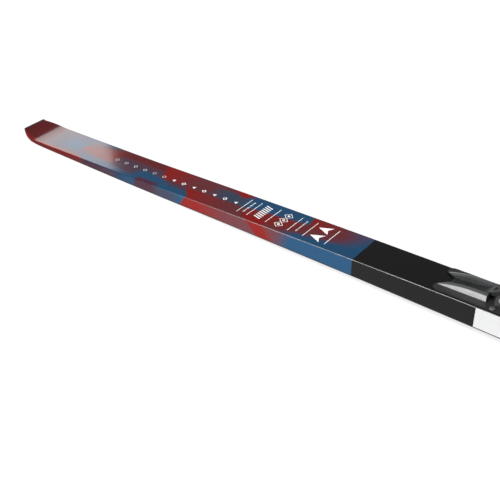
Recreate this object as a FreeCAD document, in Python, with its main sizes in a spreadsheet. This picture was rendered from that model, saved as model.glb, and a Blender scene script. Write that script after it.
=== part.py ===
"""Touring cross-country ski with its toe binding and heel plate, one ski of a pair.

Frame: +X towards the tip, +Y towards the skier's left, +Z up, in millimetres.
The origin is under the middle of the ski, at the lowest point of the base.
"""
import FreeCAD, Part
import Sketcher
import math
import os
import re

SIZES = {
    # the whole ski
    "ski_length": 1850,
    "shovel_width": 64,
    "waist_width": 60,
    "tail_width": 62,
    "tip_end_width": 42,
    "tip_taper": 33,
    "tail_end_width": 44,
    "tail_taper": 24,
    "tip_rise": 9,
    "tip_rise_length": 50,
    "tail_rise": 6,
    "tail_rise_length": 48,
    "camber_height": 7,
    "contact_distance": 180,
    "camber_blend": 150,
    "foot_thickness": 32.6,
    "tip_thickness": 4.2,
    "tail_thickness": 4.2,
    "foot_plateau": 120,
    "thinning_power": 1.2,
    "sidecut_end": 60,
    # layers
    "base_thickness": 1.3,
    "laminate_thickness": 0.6,
    "cap_top": 0.9,
    "cap_side": 2,
    "cap_edge_radius": 1.8,
    "tip_guard": 2.5,
    "tail_guard": 12,
    "tip_spacer_length": 72,
    "tail_spacer_length": 48,
    "groove_width": 8,
    "groove_depth": 0.6,
    "groove_rear_margin": 60,
    "groove_front_margin": 120,
    "grip_front": 290,
    "grip_rear": -160,
    "grip_width": 44,
    "grip_depth": 1,
    "scale_pitch": 9,
    "scale_step": 0.35,
    "scale_face": 0.5,
    "stringer_width": 14,
    "stringer_front": 640,
    "stringer_rear": -640,
    "insert_front": 165,
    "insert_rear": -330,
    "insert_width": 46,
    "insert_thickness": 1.5,
    "insert_glue_line": 0.05,
    "centre_front": 268,
    "centre_rear": -340,
    "sidewall_front": 89.5,
    "sidewall_rear": -150,
    # mounting plate and its T rail
    "plate_nose": 153,
    "plate_rear": -178,
    "plate_width": 55,
    "plate_top": 41.2,
    "plate_bedding": 0.1,
    "plate_ramp_foot": 60,
    "nose_thickness": 2.2,
    "fork_mouth": 15.5,
    "fork_throat": 9,
    "fork_depth": 14,
    "fork_root": 84,
    "nose_radius": 7,
    "rail_neck": 5,
    "rail_head": 8,
    "rail_neck_height": 2,
    "rail_height": 4,
    "rail_front": 76,
    "rail_rear": -140,
    "slide_gap": 0.3,
    "screw_side": 22.8,
    "screw_front": 72,
    "screw_spacing": 112,
    "screw_head_radius": 4,
    "screw_head_height": 1.1,
    "screw_shank_radius": 2.2,
    "screw_length": 17,
    "screw_point": 3,
    "screw_point_radius": 0.4,
    "screw_head_draft": 0.5,
    "recess_length": 4.4,
    "recess_width": 0.9,
    "recess_depth": 0.8,
    "recess_turn": 20,
    "screw_seat_gap": 0.1,
    # fairing and its side trims
    "fairing_half": 14.8,
    "trim_thickness": 1.2,
    "fairing_front": 150,
    "fairing_rear": 84,
    "fairing_height": 49,
    "bridge_top": 41.1,
    "bridge_length": 6,
    "shoulder_run": 14,
    "shoulder_drop": 0.5,
    "crown_shift": 1,
    "crown_drop": 3.2,
    "trim_foot_gap": 0.2,
    # toe unit
    "sole_level": 47.4,
    "housing_half": 18,
    "housing_front": 73,
    "housing_rear": -8,
    "ear_height": 57,
    "ear_round": 2,
    "pivot_x": 64,
    "pivot_height": 52,
    "pin_radius": 2,
    "pin_clearance": 0.05,
    "lever_half": 8.2,
    "lever_gap": 0.6,
    "hub_half": 5.2,
    "hub_radius": 4.5,
    "lever_tip": 138.5,
    "lever_nose_bottom": 37.5,
    "lever_nose_top": 38.7,
    "lever_nose_round": 2.5,
    "lever_bend_height": 41.4,
    "lever_rise_height": 45.5,
    "lever_belly_height": 43,
    "lever_shin_height": 39.6,
    "dimple_radius": 4,
    "dimple_reach": 17,
    "dimple_depth": 5.5,
    "spring_wire_radius": 0.4,
    "spring_turns": 2.5,
    "spring_pitch": 1,
    "spring_clearance": 0.6,
    "bar_x": 22,
    "bar_height": 50,
    "bar_gap": 2.4,
    "hook_half": 6,
    "hook_front": 57,
    "hook_floor": 45.9,
    "hook_plate": 1.3,
    "claw_thickness": 3.6,
    "jaw_half": 10,
    "jaw_thickness": 5,
    "flexor_front": 50,
    "flexor_rear": 30,
    "flexor_half": 15,
    "flexor_top": 60,
    "flexor_round": 1.5,
    "bar_lead": 1.8,
    # twin-ridge rail cover
    "cover_rear": -172,
    "ridge_inner": 7.5,
    "ridge_outer": 13,
    "ridge_height": 5.6,
    "ridge_draft": 0.8,
    "adjuster_radius": 1.2,
    "adjuster_head": 1.75,
    "adjuster_length": 44,
    "adjuster_head_length": 2.2,
    "adjuster_seat_depth": 3.5,
    "adjuster_slot_half": 0.4,
    # heel plate
    "heel_front": -216,
    "heel_rear": -300,
    "heel_half": 24,
    "track_front": -196,
    "track_rear": -320,
    "track_screw_inset": 14,
    "track_screw_side": 16,
    "heel_round": 4,
    "pad_inner": 14.6,
    "pad_outer": 22,
    "pad_depth": 1.2,
    "pad_proud": 0.8,
    "pad_margin": 8,
    "rib_pitch": 7.4,
    "rib_width": 4,
    "rib_gap": 2,
}

doc = FreeCAD.newDocument("cross_country_ski")
sheet = doc.addObject("Spreadsheet::Sheet", "Sizes")
for row, (alias, value) in enumerate(SIZES.items(), 1):
    sheet.set("A%d" % row, alias)
    sheet.set("B%d" % row, str(value))
    sheet.setAlias("B%d" % row, alias)
doc.recompute()


def size(alias):
    """A driving dimension, read from the sheet."""
    return float(getattr(sheet, alias))


def bound(text):
    """An expression in which every alias points at its cell."""
    return re.sub(r"[a-z_]*[a-z]", lambda word: "Sizes." + word.group(0), text)


# ------------------------------------------------------------------ drawing helpers

def new_body(label):
    body = doc.addObject("PartDesign::Body", label)
    body.Label = label
    return body


def new_sketch(body, role, name, offset="0"):
    """A sketch on one of the body's own origin planes, moved along its normal by offset."""
    sketch = body.newObject("Sketcher::SketchObject", name)
    plane = [item for item in body.Origin.OriginFeatures if item.Role == role][0]
    sketch.AttachmentSupport = [(plane, "")]
    sketch.MapMode = "FlatFace"
    sketch.setExpression("AttachmentOffset.Base.z", bound(offset))
    return sketch


def pin_point(sketch, geometry, end, place):
    """Hold one end of a sketch line at a place given by two expressions."""
    for kind, text in zip(("DistanceX", "DistanceY"), place):
        index = sketch.addConstraint(Sketcher.Constraint(kind, -1, 1, geometry, end, 1.0))
        sketch.setExpression("Constraints[%d]" % index, bound(text))


def polygon(sketch, corners):
    """A closed outline whose corners follow the sheet."""
    count = len(corners)
    first = sketch.GeometryCount
    ring = [FreeCAD.Vector(math.cos(2 * math.pi * k / count), math.sin(2 * math.pi * k / count), 0)
            for k in range(count + 1)]
    for start, end in zip(ring, ring[1:]):
        sketch.addGeometry(Part.LineSegment(start, end), False)
    for k in range(count):
        sketch.addConstraint(Sketcher.Constraint("Coincident", first + k, 2, first + (k + 1) % count, 1))
        pin_point(sketch, first + k, 1, corners[k])


def rectangle(sketch, low_x, high_x, low_y, high_y):
    polygon(sketch, [(low_x, low_y), (high_x, low_y), (high_x, high_y), (low_x, high_y)])


def circle(sketch, centre, radius):
    index = sketch.addGeometry(Part.Circle(FreeCAD.Vector(0, 0, 0), FreeCAD.Vector(0, 0, 1), 1), False)
    pin_point(sketch, index, 3, centre)
    rule = sketch.addConstraint(Sketcher.Constraint("Radius", index, 1.0))
    sketch.setExpression("Constraints[%d]" % rule, bound(radius))


def pad(sketch, length, symmetric=False, reverse=False):
    feature = sketch.getParentGeoFeatureGroup().newObject("PartDesign::Pad", sketch.Name + "_pad")
    feature.Profile = sketch
    feature.setExpression("Length", bound(length))
    feature.SideType = "Symmetric" if symmetric else "One side"
    feature.Reversed = reverse
    return feature


def pocket(sketch, length=None, symmetric=False, reverse=False):
    """Cut the sketch out of its body, right through when no length is given."""
    feature = sketch.getParentGeoFeatureGroup().newObject("PartDesign::Pocket", sketch.Name + "_cut")
    feature.Profile = sketch
    feature.SideType = "Symmetric" if symmetric else "One side"
    feature.Reversed = reverse
    if length is None:
        feature.Type = "ThroughAll"
    else:
        feature.setExpression("Length", bound(length))
    return feature


def round_edges(body, radius, chosen):
    """Fillet the edges of the body's tip that pass the test."""
    doc.recompute()
    base = body.Tip
    names = ["Edge%d" % k for k, edge in enumerate(base.Shape.Edges, 1) if chosen(edge.BoundBox)]
    feature = body.newObject("PartDesign::Fillet", body.Name + "_round")
    feature.Base = (base, names)
    feature.setExpression("Radius", bound(radius))
    return feature


# ------------------------------------------------------------------ the ski's own curves

HALF = size("ski_length") / 2
STATION_COUNT = 18
STATIONS = [HALF * math.sin(math.pi / 2 * k / STATION_COUNT)
            for k in range(-STATION_COUNT, STATION_COUNT + 1)]
SHOULDER_STEPS = 6
STATIONS += [sign * (HALF - size("tip_taper") * k / SHOULDER_STEPS)
             for sign in (1, -1) for k in range(1, SHOULDER_STEPS + 2)]
STATIONS.sort()


def end_rise(distance, rise, length):
    """Height of an upturned end, a circular arc tangent to the ground."""
    if distance >= length:
        return 0.0
    radius = (length ** 2 + rise ** 2) / (2 * rise)
    return radius - math.sqrt(radius ** 2 - (length - distance) ** 2)


def base_height(x):
    """Underside of the ski: upturned ends, flat contact zones and a camber of three arcs."""
    span = HALF - size("contact_distance")
    slope = 2 * size("camber_height") / span
    inner = span - size("camber_blend")
    if abs(x) <= inner:
        return size("camber_height") - slope * x * x / (2 * inner)
    if abs(x) < span:
        return slope * (span - abs(x)) ** 2 / (2 * size("camber_blend"))
    if x > 0:
        return end_rise(HALF - x, size("tip_rise"), size("tip_rise_length"))
    return end_rise(HALF + x, size("tail_rise"), size("tail_rise_length"))


def deck_height(x):
    """Top of the ski: thickest under the foot, thinning towards both ends."""
    if x > 0:
        end, ratio = size("tip_thickness"), x / HALF
    else:
        plateau = size("foot_plateau")
        end, ratio = size("tail_thickness"), max(0.0, (-x - plateau) / (HALF - plateau))
    return base_height(x) + end + (size("foot_thickness") - end) * (1 - ratio ** size("thinning_power"))


def half_width(x):
    """Half the width of the ski: a parabolic sidecut with round shoulders at both ends."""
    wide, end_width, taper = size("shovel_width"), size("tip_end_width"), size("tip_taper")
    if x < 0:
        wide, end_width, taper = size("tail_width"), size("tail_end_width"), size("tail_taper")
    ratio = min(1.0, abs(x) / (HALF - size("sidecut_end")))
    straight = (size("waist_width") + (wide - size("waist_width")) * ratio ** 2) / 2
    past = abs(x) - (HALF - taper)
    if past <= 0:
        return straight
    drop = (wide - end_width) / 2
    radius = (taper ** 2 + drop ** 2) / (2 * drop)
    return straight - radius + math.sqrt(radius ** 2 - past ** 2)


def spline(places):
    curve = Part.BSplineCurve()
    curve.interpolate([FreeCAD.Vector(x, y, 0) for x, y in places])
    return curve


def stations_between(rear, front):
    inside = [x for x in STATIONS if rear + 1 < x < front - 1]
    return [rear] + [x for x, following in zip(inside, inside[1:] + [front]) if following - x > 1] + [front]


def draw_band(sketch, lower, upper, rear, front):
    """A long strip in side view between two height functions."""
    places = stations_between(rear, front)
    low = spline([(x, lower(x)) for x in places])
    high = spline([(x, upper(x)) for x in places])
    sketch.addGeometry(low, False)
    sketch.addGeometry(high, False)
    sketch.addGeometry(Part.LineSegment(low.StartPoint, high.StartPoint), False)
    sketch.addGeometry(Part.LineSegment(low.EndPoint, high.EndPoint), False)


def draw_outline(sketch, inset):
    """The ski in plan: one spline each side and square-cut ends."""
    places = [(x, half_width(x) - inset) for x in stations_between(-HALF, HALF)]
    for side in (1, -1):
        sketch.addGeometry(spline([(x, side * y) for x, y in places]), False)
    for x, y in (places[0], places[-1]):
        sketch.addGeometry(Part.LineSegment(FreeCAD.Vector(x, -y, 0), FreeCAD.Vector(x, y, 0)), False)


def ski_layer(label, lower, upper, inset, rear, front):
    """One layer of the ski: a band in side view, trimmed to the outline in plan."""
    body = new_body(label)
    side = new_sketch(body, "XZ_Plane", label + "_side")
    draw_band(side, lower, upper, rear, front)
    pad(side, "shovel_width + 20", symmetric=True)
    plan = new_sketch(body, "XY_Plane", label + "_plan")
    rectangle(plan, "-ski_length / 2 - 20", "ski_length / 2 + 20", "-shovel_width", "shovel_width")
    draw_outline(plan, inset)
    pocket(plan, symmetric=True)
    return body


def above_base(rise):
    return lambda x: base_height(x) + rise


def below_deck(drop):
    return lambda x: deck_height(x) - drop


def cut_band(body, name, lower, upper, rear, front, width):
    """Remove a strip of constant width that follows the ski's curve."""
    side = new_sketch(body, "XZ_Plane", name)
    draw_band(side, lower, upper, rear, front)
    return pocket(side, width, symmetric=True)


def combine(kind, label, base, tool):
    result = doc.addObject(kind, label)
    result.Label = label
    result.Base = base
    result.Tool = tool
    return result


def slab(label, rear, front, low_y="-shovel_width", high_y="shovel_width"):
    """A box across the ski between two stations, tall enough to take in every layer."""
    box = doc.addObject("Part::Box", label)
    box.setExpression("Placement.Base.x", bound(rear))
    box.setExpression("Placement.Base.y", bound(low_y))
    box.setExpression("Placement.Base.z", bound("-foot_thickness"))
    box.setExpression("Length", bound("(%s) - (%s)" % (front, rear)))
    box.setExpression("Width", bound("(%s) - (%s)" % (high_y, low_y)))
    box.setExpression("Height", bound("foot_thickness * 4"))
    return box


# ------------------------------------------------------------------ the ski

REAR = -HALF + size("tail_guard")
FRONT = HALF - size("tip_guard")
CORE_REAR = -HALF + size("tail_guard") + size("tail_spacer_length")
CORE_FRONT = HALF - size("tip_guard") - size("tip_spacer_length")
BASE = size("base_thickness")
LAMINATE = size("laminate_thickness")
CAP = size("cap_top")
SIDE = size("cap_side")


def base_sheet():
    """Sintered running base with a guide groove and a recess for the grip insert."""
    body = ski_layer("base_sheet", base_height, above_base(BASE), 0, REAR, FRONT)
    cut_band(body, "base_groove", above_base(-2), above_base(size("groove_depth")),
             -HALF + size("groove_rear_margin"), HALF - size("groove_front_margin"), "groove_width")
    cut_band(body, "grip_recess", above_base(-2), above_base(size("grip_depth")),
             size("grip_rear"), size("grip_front"), "grip_width")
    return body


def grip_insert():
    """Waxless grip: a row of steps that hold backwards and glide forwards."""
    body = new_body("grip_insert")
    side = new_sketch(body, "XZ_Plane", "grip_side")
    rear, front = size("grip_rear"), size("grip_front")
    step = size("scale_step")
    low_places = [(rear, base_height(rear) + step)]
    for k in range(round((front - rear) / size("scale_pitch"))):
        start = rear + k * size("scale_pitch")
        end = start + size("scale_pitch")
        low_places += [(start + size("scale_face"), base_height(start)), (end, base_height(end) + step)]
    roof = spline([(x, base_height(x) + size("grip_depth")) for x in stations_between(rear, front)])
    places = [FreeCAD.Vector(x, y, 0) for x, y in low_places]
    for start, end in zip(places, places[1:]):
        side.addGeometry(Part.LineSegment(start, end), False)
    side.addGeometry(roof, False)
    side.addGeometry(Part.LineSegment(places[0], roof.StartPoint), False)
    side.addGeometry(Part.LineSegment(places[-1], roof.EndPoint), False)
    pad(side, "grip_width", symmetric=True)
    cut_band(body, "grip_groove", above_base(-2), above_base(size("groove_depth")),
             rear - 1, front + 1, "groove_width")
    return body


def core_parts():
    """Foam core with a wood stringer down the middle and a screw insert under the binding."""
    floor, roof = above_base(BASE + LAMINATE), below_deck(CAP + LAMINATE)
    insert_floor = below_deck(CAP + LAMINATE + size("insert_thickness"))
    core = ski_layer("foam_core", floor, roof, SIDE, CORE_REAR, CORE_FRONT)
    cut_band(core, "stringer_slot", above_base(0), below_deck(-2),
             size("stringer_rear"), size("stringer_front"), "stringer_width")
    cut_band(core, "insert_slot", insert_floor, below_deck(-2),
             size("insert_rear"), size("insert_front"), "insert_width")

    stringer = new_body("wood_stringer")
    side = new_sketch(stringer, "XZ_Plane", "stringer_side")
    draw_band(side, floor, roof, size("stringer_rear"), size("stringer_front"))
    pad(side, "stringer_width", symmetric=True)
    cut_band(stringer, "stringer_insert_slot", insert_floor, below_deck(-2),
             size("insert_rear"), size("insert_front"), "insert_width")

    insert = new_body("screw_insert")
    side = new_sketch(insert, "XZ_Plane", "insert_side")
    insert_roof = below_deck(CAP + LAMINATE + size("insert_glue_line"))
    draw_band(side, insert_floor, insert_roof, size("insert_rear"), size("insert_front"))
    pad(side, "insert_width", symmetric=True)
    return [core, stringer, insert]


def cap_parts():
    """Cap topsheet in three lengths over the core, with a sidewall let in each side underfoot."""
    envelope = ski_layer("cap_envelope", above_base(BASE), deck_height, 0, REAR, FRONT)
    round_edges(envelope, "cap_edge_radius",
                lambda box: box.XLength > 1500 and box.ZMax > 30)
    cavity = ski_layer("cap_cavity", above_base(-2), below_deck(CAP), SIDE, REAR - 5, FRONT + 5)
    blank = ski_layer("sidewall_blank", above_base(-2), below_deck(CAP), -5, REAR, FRONT)
    shell = combine("Part::Cut", "cap_shell", envelope, cavity)
    zone = slab("sidewall_zone", "sidewall_rear", "sidewall_front")
    band = combine("Part::Common", "sidewall_band", combine("Part::Common", "sidewall_ring", shell, blank),
                   zone)
    trimmed = combine("Part::Cut", "cap_trimmed", shell, band)
    parts = []
    for label, rear, front in (("topsheet_front", "centre_front", "ski_length / 2"),
                               ("topsheet_centre", "centre_rear", "centre_front"),
                               ("topsheet_tail", "-ski_length / 2", "centre_rear")):
        parts.append(combine("Part::Common", label, trimmed, slab(label + "_zone", rear, front)))
    for label, low, high in (("sidewall_left", "0", "shovel_width"),
                             ("sidewall_right", "-shovel_width", "0")):
        half = slab(label + "_zone", "sidewall_rear", "sidewall_front", low, high)
        parts.append(combine("Part::Common", label, band, half))
    return parts


def ski_parts():
    floor, roof = above_base(BASE + LAMINATE), below_deck(CAP + LAMINATE)
    parts = [base_sheet(), grip_insert()]
    parts.append(ski_layer("lower_laminate", above_base(BASE), floor, SIDE, REAR, FRONT))
    parts.append(ski_layer("upper_laminate", roof, below_deck(CAP), SIDE, REAR, FRONT))
    parts.append(ski_layer("tip_spacer", floor, roof, SIDE, CORE_FRONT, FRONT))
    parts.append(ski_layer("tail_spacer", floor, roof, SIDE, REAR, CORE_REAR))
    parts.append(ski_layer("tip_guard", base_height, deck_height, 0, FRONT, HALF))
    parts.append(ski_layer("tail_guard", base_height, deck_height, 0, -HALF, REAR))
    return parts + core_parts() + cap_parts()


# ------------------------------------------------------------------ binding

def rail_profile(sketch, foot):
    """The T rail that a sliding unit runs on, seen from the end."""
    head_foot, top = "plate_top + rail_neck_height", "plate_top + rail_height"
    polygon(sketch, [("-rail_neck", foot), ("rail_neck", foot), ("rail_neck", head_foot),
                     ("rail_head", head_foot), ("rail_head", top), ("-rail_head", top),
                     ("-rail_head", head_foot), ("-rail_neck", head_foot)])


def rail_slot(body, rear, length):
    """A slot that clears the T rail by the sliding gap on every side."""
    slot = new_sketch(body, "YZ_Plane", body.Name + "_slot", rear)
    neck, head = "rail_neck + slide_gap", "rail_head + slide_gap"
    head_foot = "plate_top + rail_neck_height - slide_gap"
    top = "plate_top + rail_height + slide_gap"
    right = [(neck, "plate_top - 1"), (neck, head_foot), (head, head_foot), (head, top)]
    left = [("-(%s)" % y, z) for y, z in reversed(right)]
    polygon(slot, right + left)
    return pocket(slot, length, reverse=True)


def screw_places(front, spacing, count, side):
    return [("%s - %d * %s" % (front, k, spacing), hand + side) for k in range(count) for hand in ("", "-")]


def screw_seats(body, places):
    """Counterbored screw holes, open at the top."""
    for name, radius, depth in (("seat", "screw_head_radius", "screw_head_height"),
                                ("hole", "screw_shank_radius", "screw_length")):
        drill = new_sketch(body, "XY_Plane", "%s_%s" % (body.Name, name), "plate_top")
        for place in places:
            circle(drill, place, radius + " + screw_seat_gap")
        pocket(drill, depth)


def screw_group(label, places):
    """Pan-head screws with a cross recess, one solid each, in one node."""
    solids = []
    top = size("plate_top")
    head = size("screw_head_height")
    for place_x, place_y in places:
        x, y = numeric(place_x), numeric(place_y)
        crown = size("screw_head_radius") - size("screw_head_draft")
        axis = [(0, 0), (size("screw_head_radius"), 0), (crown, head), (0, head)]
        outline = Part.makePolygon([FreeCAD.Vector(r, 0, z - head) for r, z in axis + axis[:1]])
        screw = Part.Face(outline).revolve(FreeCAD.Vector(0, 0, 0), FreeCAD.Vector(0, 0, 1), 360)
        shank_length = size("screw_length") - head - size("screw_point")
        shank = Part.makeCylinder(size("screw_shank_radius"), shank_length,
                                  FreeCAD.Vector(0, 0, -head - shank_length))
        point = Part.makeCone(size("screw_point_radius"), size("screw_shank_radius"), size("screw_point"),
                              FreeCAD.Vector(0, 0, -size("screw_length")))
        screw = screw.fuse([shank, point])
        for turn in (0, 90):
            corner = FreeCAD.Vector(-size("recess_length") / 2, -size("recess_width") / 2,
                                    -size("recess_depth"))
            recess = Part.makeBox(size("recess_length"), size("recess_width"), 2 * size("recess_depth"),
                                  corner)
            recess.rotate(FreeCAD.Vector(0, 0, 0), FreeCAD.Vector(0, 0, 1), turn + size("recess_turn"))
            screw = screw.cut(recess)
        screw.translate(FreeCAD.Vector(x, y, top))
        solids += screw.Solids
    group = doc.addObject("Part::Feature", label)
    group.Label = label
    group.Shape = Part.makeCompound(solids)
    return group


def numeric(text):
    """The value of a sum or difference of sizes, numbers and their products."""
    total = 0.0
    for term in re.findall(r"[+-]?[^+-]+", text.replace(" ", "")):
        value = -1.0 if term.startswith("-") else 1.0
        for factor in term.strip("+-").split("*"):
            value *= size(factor) if factor in SIZES else float(factor)
        total += value
    return total


PLATE_SCREWS = screw_places("screw_front", "screw_spacing", 3, "screw_side")
TRACK_SCREWS = [(x, y) for x in ("track_front - track_screw_inset", "track_rear + track_screw_inset")
                for y in ("-track_screw_side", "track_screw_side")]
RAIL_AXIS = ("0", "plate_top + rail_height / 2")


def plate_on_deck(label, rear, front, ramp):
    """A plate whose underside follows the ski and whose top is level, with an optional nose ramp."""
    body = new_body(label)
    side = new_sketch(body, "XZ_Plane", label + "_side")
    seat = below_deck(-size("plate_bedding"))
    low = spline([(x, seat(x)) for x in stations_between(rear, front)])
    side.addGeometry(low, False)
    top = size("plate_top")
    roof = [(rear, top), (front, top)]
    if ramp:
        roof = [(rear, top), (size("plate_ramp_foot"), top), (front, deck_height(front) + ramp)]
    corners = [low.StartPoint] + [FreeCAD.Vector(x, z, 0) for x, z in roof] + [low.EndPoint]
    for start, end in zip(corners, corners[1:]):
        side.addGeometry(Part.LineSegment(start, end), False)
    return body, side


def mounting_plate():
    """Forked plate screwed to the ski, carrying the T rail that the toe unit slides on."""
    body, side = plate_on_deck("mounting_plate", size("plate_rear"), size("plate_nose"),
                               size("nose_thickness"))
    pad(side, "plate_width", symmetric=True)
    fork = new_sketch(body, "XY_Plane", "plate_fork")
    throat_x = "plate_nose - fork_depth"
    polygon(fork, [("plate_nose + 1", "-fork_mouth"), (throat_x, "-fork_throat"),
                   ("fork_root", "-fork_throat"), ("fork_root", "fork_throat"),
                   (throat_x, "fork_throat"), ("plate_nose + 1", "fork_mouth")])
    pocket(fork, symmetric=True)
    round_edges(body, "nose_radius", lambda box: box.XLength < 0.01 and box.YLength < 0.01
                and box.XMin > size("plate_nose") - 0.1 and abs(box.YMin) > 20)
    round_edges(body, "nose_radius / 3", lambda box: box.XLength < 0.01 and box.YLength < 0.01
                and box.XMin > size("plate_nose") - 0.1 and abs(box.YMin) < 20)
    round_edges(body, "nose_radius", lambda box: box.XLength < 0.01 and box.YLength < 0.01
                and box.XMax < size("plate_rear") + 0.1)
    rail = new_sketch(body, "YZ_Plane", "plate_rail", "rail_rear")
    rail_profile(rail, "plate_top - 0.5")
    pad(rail, "rail_front - rail_rear")
    screw_seats(body, PLATE_SCREWS)
    bore = new_sketch(body, "YZ_Plane", "adjuster_hole", "rail_rear")
    circle(bore, RAIL_AXIS, "adjuster_radius + 0.2")
    pocket(bore, "adjuster_length", reverse=True)
    return body


def fairing_profile(sketch, lift):
    """Side view of the fairing: a long rising arc from the fork's nose."""
    front, rear, top = size("fairing_front"), size("fairing_rear"), size("fairing_height")
    ramp_foot = size("plate_ramp_foot")
    nose_top = deck_height(size("plate_nose")) + size("nose_thickness")
    fall = (size("plate_top") - nose_top) / (size("plate_nose") - ramp_foot)

    def plate_surface(x):
        return size("plate_top") - fall * (x - ramp_foot) + lift

    start = FreeCAD.Vector(front, plate_surface(front), 0)
    low_end = FreeCAD.Vector(rear, plate_surface(rear), 0)
    shoulder = FreeCAD.Vector(rear + size("shoulder_run"), top - size("shoulder_drop"), 0)
    crown = FreeCAD.Vector((front + shoulder.x) / 2 - size("crown_shift"), top - size("crown_drop"), 0)
    sketch.addGeometry(Part.Arc(start, crown, shoulder), False)
    sketch.addGeometry(Part.LineSegment(shoulder, FreeCAD.Vector(rear, top, 0)), False)
    sketch.addGeometry(Part.LineSegment(FreeCAD.Vector(rear, top, 0), low_end), False)
    sketch.addGeometry(Part.LineSegment(low_end, start), False)


def front_fairing():
    """Two cheeks on the fork's prongs that guard the lever, joined by a low bridge."""
    body = new_body("front_fairing")
    side = new_sketch(body, "XZ_Plane", "fairing_side")
    fairing_profile(side, 0)
    pad(side, "fairing_half * 2", symmetric=True)
    gap = new_sketch(body, "XY_Plane", "fairing_gap")
    throat_x = "plate_nose - fork_depth"
    bridge_x = "fairing_rear + bridge_length"
    polygon(gap, [("plate_nose + 1", "-fork_mouth"), (throat_x, "-fork_throat"),
                  (bridge_x, "-fork_throat"), (bridge_x, "fork_throat"),
                  (throat_x, "fork_throat"), ("plate_nose + 1", "fork_mouth")])
    pocket(gap, symmetric=True)
    above = new_sketch(body, "XZ_Plane", "fairing_bridge")
    rectangle(above, "fairing_rear - 1", bridge_x + " + 1", "bridge_top", "fairing_height + 5")
    pocket(above, "fork_throat * 2", symmetric=True)
    return body


def side_trim(label, hand):
    """A light inlay on the outside of one cheek."""
    body = new_body(label)
    offset = "fairing_half" if hand < 0 else "-fairing_half - trim_thickness"
    side = new_sketch(body, "XZ_Plane", label + "_side", offset)
    fairing_profile(side, size("trim_foot_gap"))
    pad(side, "trim_thickness")
    return body


def toe_housing():
    """Block that slides on the rail and holds the lever, flexor, hook and jaw."""
    body = new_body("toe_housing")
    side = new_sketch(body, "XZ_Plane", "housing_side")
    floor = "plate_top + slide_gap"
    polygon(side, [("housing_rear", floor), ("housing_front", floor), ("housing_front", "ear_height - 6"),
                   ("housing_front - 5", "ear_height - 1"), ("housing_front - 9", "ear_height"),
                   ("flexor_rear + 6", "ear_height"), ("flexor_rear", "ear_height - 5"),
                   ("flexor_rear", "sole_level"), ("housing_rear", "sole_level")])
    pad(side, "housing_half * 2", symmetric=True)
    lever_room = new_sketch(body, "XZ_Plane", "lever_room")
    rectangle(lever_room, "flexor_front + 2", "housing_front + 1", "hook_floor + 0.6", "ear_height + 1")
    pocket(lever_room, "(lever_half + lever_gap) * 2", symmetric=True)
    flexor_seat = new_sketch(body, "XZ_Plane", "flexor_seat")
    rectangle(flexor_seat, "flexor_rear - 1", "flexor_front", "sole_level + 1", "ear_height + 1")
    pocket(flexor_seat, "flexor_half * 2", symmetric=True)
    hook_way = new_sketch(body, "XZ_Plane", "hook_way")
    rectangle(hook_way, "bar_x - bar_gap", "hook_front + 8", "hook_floor - 0.1", "sole_level + 2")
    pocket(hook_way, "(hook_half + 0.4) * 2", symmetric=True)
    pin_bore = new_sketch(body, "XZ_Plane", "pin_bore")
    circle(pin_bore, ("pivot_x", "pivot_height"), "pin_radius")
    pocket(pin_bore, symmetric=True)
    rail_slot(body, "housing_rear - 1", "housing_front - housing_rear + 2")
    round_edges(body, "ear_round", lambda box: box.XLength < 0.01 and box.YLength < 0.01
                and box.XMin > size("housing_front") - 0.1 and abs(box.YMin) > size("housing_half") - 0.1)
    return body


def latch_lever():
    """Lever lying between the cheeks, lifted at its front end to open the hook."""
    body = new_body("latch_lever")
    side = new_sketch(body, "XZ_Plane", "lever_side")
    polygon(side, [("lever_tip", "lever_nose_bottom"), ("lever_tip", "lever_nose_top"),
                   ("lever_tip - 30", "lever_bend_height"), ("lever_tip - 46", "lever_rise_height"),
                   ("pivot_x + 16", "pivot_height + 1"),
                   ("pivot_x + 9", "pivot_height + 4"), ("pivot_x", "pivot_height + hub_radius"),
                   ("pivot_x - 3.2", "pivot_height + 3.2"), ("pivot_x - hub_radius", "pivot_height"),
                   ("pivot_x - 3.2", "pivot_height - 3.2"), ("pivot_x", "pivot_height - hub_radius"),
                   ("pivot_x + 19", "pivot_height - hub_radius"),
                   ("pivot_x + 29", "lever_belly_height"), ("pivot_x + 45", "lever_shin_height")])
    pad(side, "lever_half * 2", symmetric=True)
    plan = new_sketch(body, "XY_Plane", "lever_hub_sides", "pivot_height")
    for low, high in (("-lever_half - 1", "-hub_half"), ("hub_half", "lever_half + 1")):
        rectangle(plan, "pivot_x - hub_radius - 1", "pivot_x + 6", low, high)
    pocket(plan, "hub_radius * 3", symmetric=True)
    bore = new_sketch(body, "XZ_Plane", "lever_bore")
    circle(bore, ("pivot_x", "pivot_height"), "pin_radius + pin_clearance")
    pocket(bore, symmetric=True)
    dimple = new_sketch(body, "XY_Plane", "pole_dimple", "pivot_height + 5")
    circle(dimple, ("pivot_x + dimple_reach", "0"), "dimple_radius")
    pocket(dimple, "dimple_depth")
    round_edges(body, "lever_nose_round", lambda box: box.XLength < 0.01 and box.YLength < 0.01
                and box.XMin > size("lever_tip") - 0.1)
    return body


def lever_pin():
    body = new_body("lever_pin")
    ring = new_sketch(body, "XZ_Plane", "pin_ring")
    circle(ring, ("pivot_x", "pivot_height"), "pin_radius")
    pad(ring, "housing_half * 2 - 1", symmetric=True)
    return body


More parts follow.
